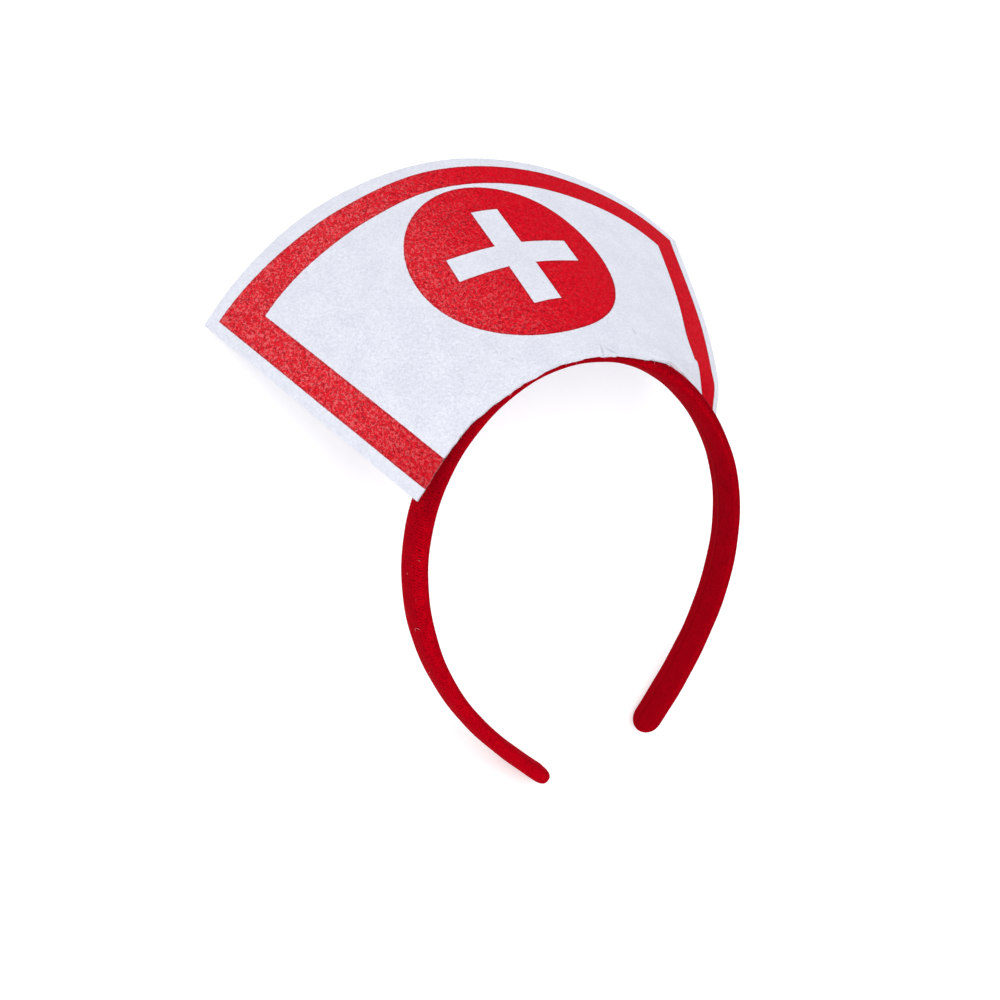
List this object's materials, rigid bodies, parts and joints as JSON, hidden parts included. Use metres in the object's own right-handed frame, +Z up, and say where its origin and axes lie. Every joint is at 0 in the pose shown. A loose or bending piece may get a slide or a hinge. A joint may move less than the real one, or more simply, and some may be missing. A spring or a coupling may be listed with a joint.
{
  "type": "costume nurse cap headband",
  "caption": "Fan-shaped white felt nurse cap with a printed red border and a cross on a red disc, glued leaning back on an open red fabric headband.",
  "frame": {"origin": "middle of the bounding box's bottom, on the surface that the cap lies on", "axes": "+X across the head, +Y from the headband's tips towards the top of the felt, +Z up; the cap lies on its back with the printed side up"},
  "size_m": [0.1784, 0.2046, 0.0669],
  "materials": {
    "red_ribbed_fabric": "ribbed velour, matt",
    "white_felt": "non-woven felt, matt, with flat red print"
  },
  "bodies": {
    "root": {"headband": "red_ribbed_fabric", "cap_panel": "white_felt"}
  },
  "joints": []
}
